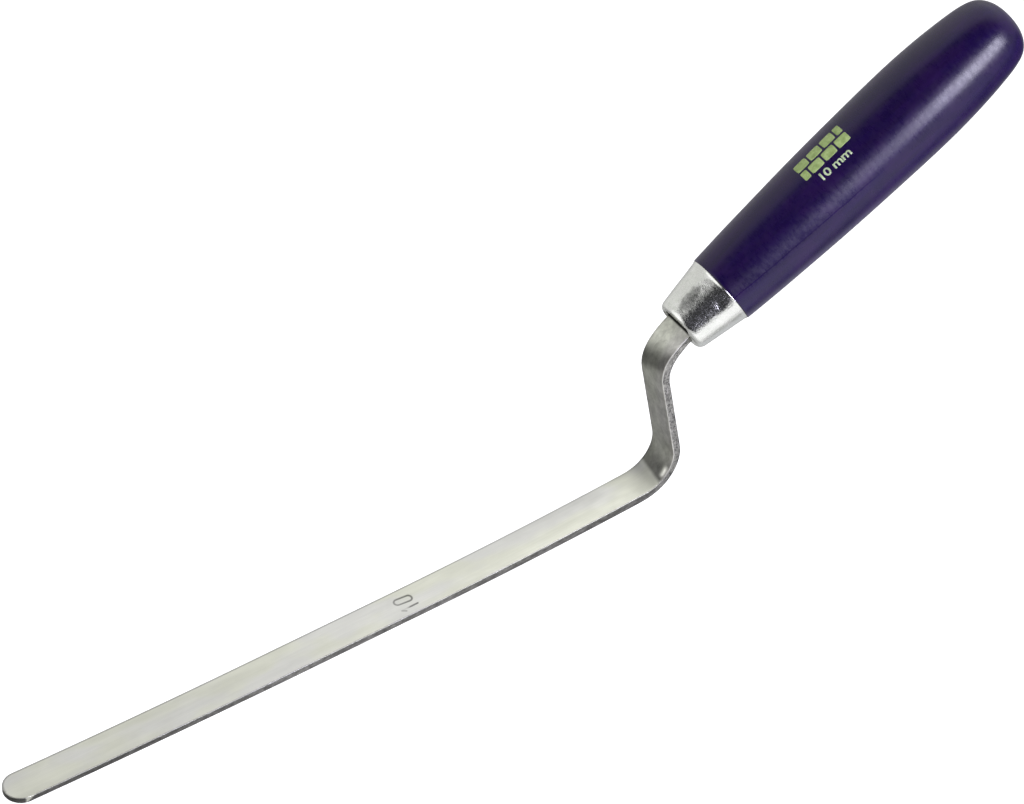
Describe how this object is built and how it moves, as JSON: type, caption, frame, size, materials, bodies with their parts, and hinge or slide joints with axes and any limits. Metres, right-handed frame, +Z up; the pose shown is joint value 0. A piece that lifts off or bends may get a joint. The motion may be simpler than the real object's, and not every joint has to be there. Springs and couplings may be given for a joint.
{
  "type": "pointing trowel",
  "caption": "Narrow pointing trowel: long parallel steel blade with a half-round tip, a neck cranked up through tight bends, a plated ferrule and a turned lacquered wooden handle.",
  "frame": {"origin": "centre of the flat land under the blade, on its surface and on the blade's centre line", "axes": "+X along the blade from its tip towards the handle, +Z up out of the blade's top face, +Y across the blade; the tool is symmetric about the XZ plane"},
  "size_m": [0.3272, 0.0268, 0.1205],
  "materials": {
    "strip_steel": "ground along its length, satin, with rough sheared edges",
    "plated_steel": "bright plating over drawn sheet, finely grained",
    "lacquered_wood": "dark purple lacquer, semi-gloss, over turned wood"
  },
  "bodies": {
    "root": {"blade": "strip_steel", "ferrule": "plated_steel", "handle": "lacquered_wood"}
  },
  "joints": []
}
